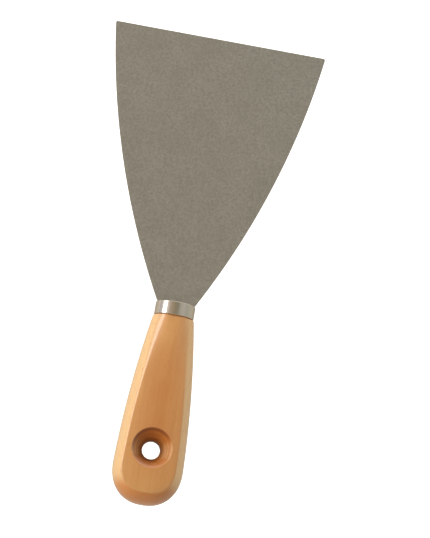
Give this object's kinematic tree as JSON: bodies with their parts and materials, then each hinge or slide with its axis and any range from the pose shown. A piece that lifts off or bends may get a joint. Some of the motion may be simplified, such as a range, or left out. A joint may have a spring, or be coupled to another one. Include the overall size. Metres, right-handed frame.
{
  "type": "flexible putty knife",
  "caption": "Fan-shaped spring steel blade that tapers to a thin straight edge, set through an oval metal ferrule into a flat-faced wooden handle with a countersunk hang hole.",
  "frame": {"origin": "midway along the tool's length, on its centre line, on the blade's middle plane", "axes": "+Y along the tool from the handle's butt to the blade's working edge, +X across the blade, +Z out of the blade's face"},
  "size_m": [0.0996, 0.222, 0.0204],
  "materials": {
    "spring_steel": "ground and satin polished spring steel",
    "nickel_plate": "bright nickel plating on drawn steel",
    "varnished_beech": "beech under clear gloss varnish",
    "epoxy": "set amber adhesive"
  },
  "bodies": {
    "handle": {"handle": "varnished_beech", "ferrule": "nickel_plate", "tang_adhesive": "epoxy"},
    "blade": {"blade": "spring_steel"}
  },
  "joints": [
    {"name": "blade_flex", "type": "hinge", "parent": "handle", "child": "blade", "pos_m": [0, 0.0261, 0], "axis": [1, 0, 0], "range_deg": [-20, 20], "stiffness_Nm_per_rad": 4.7, "deforming": ["blade"]}
  ]
}
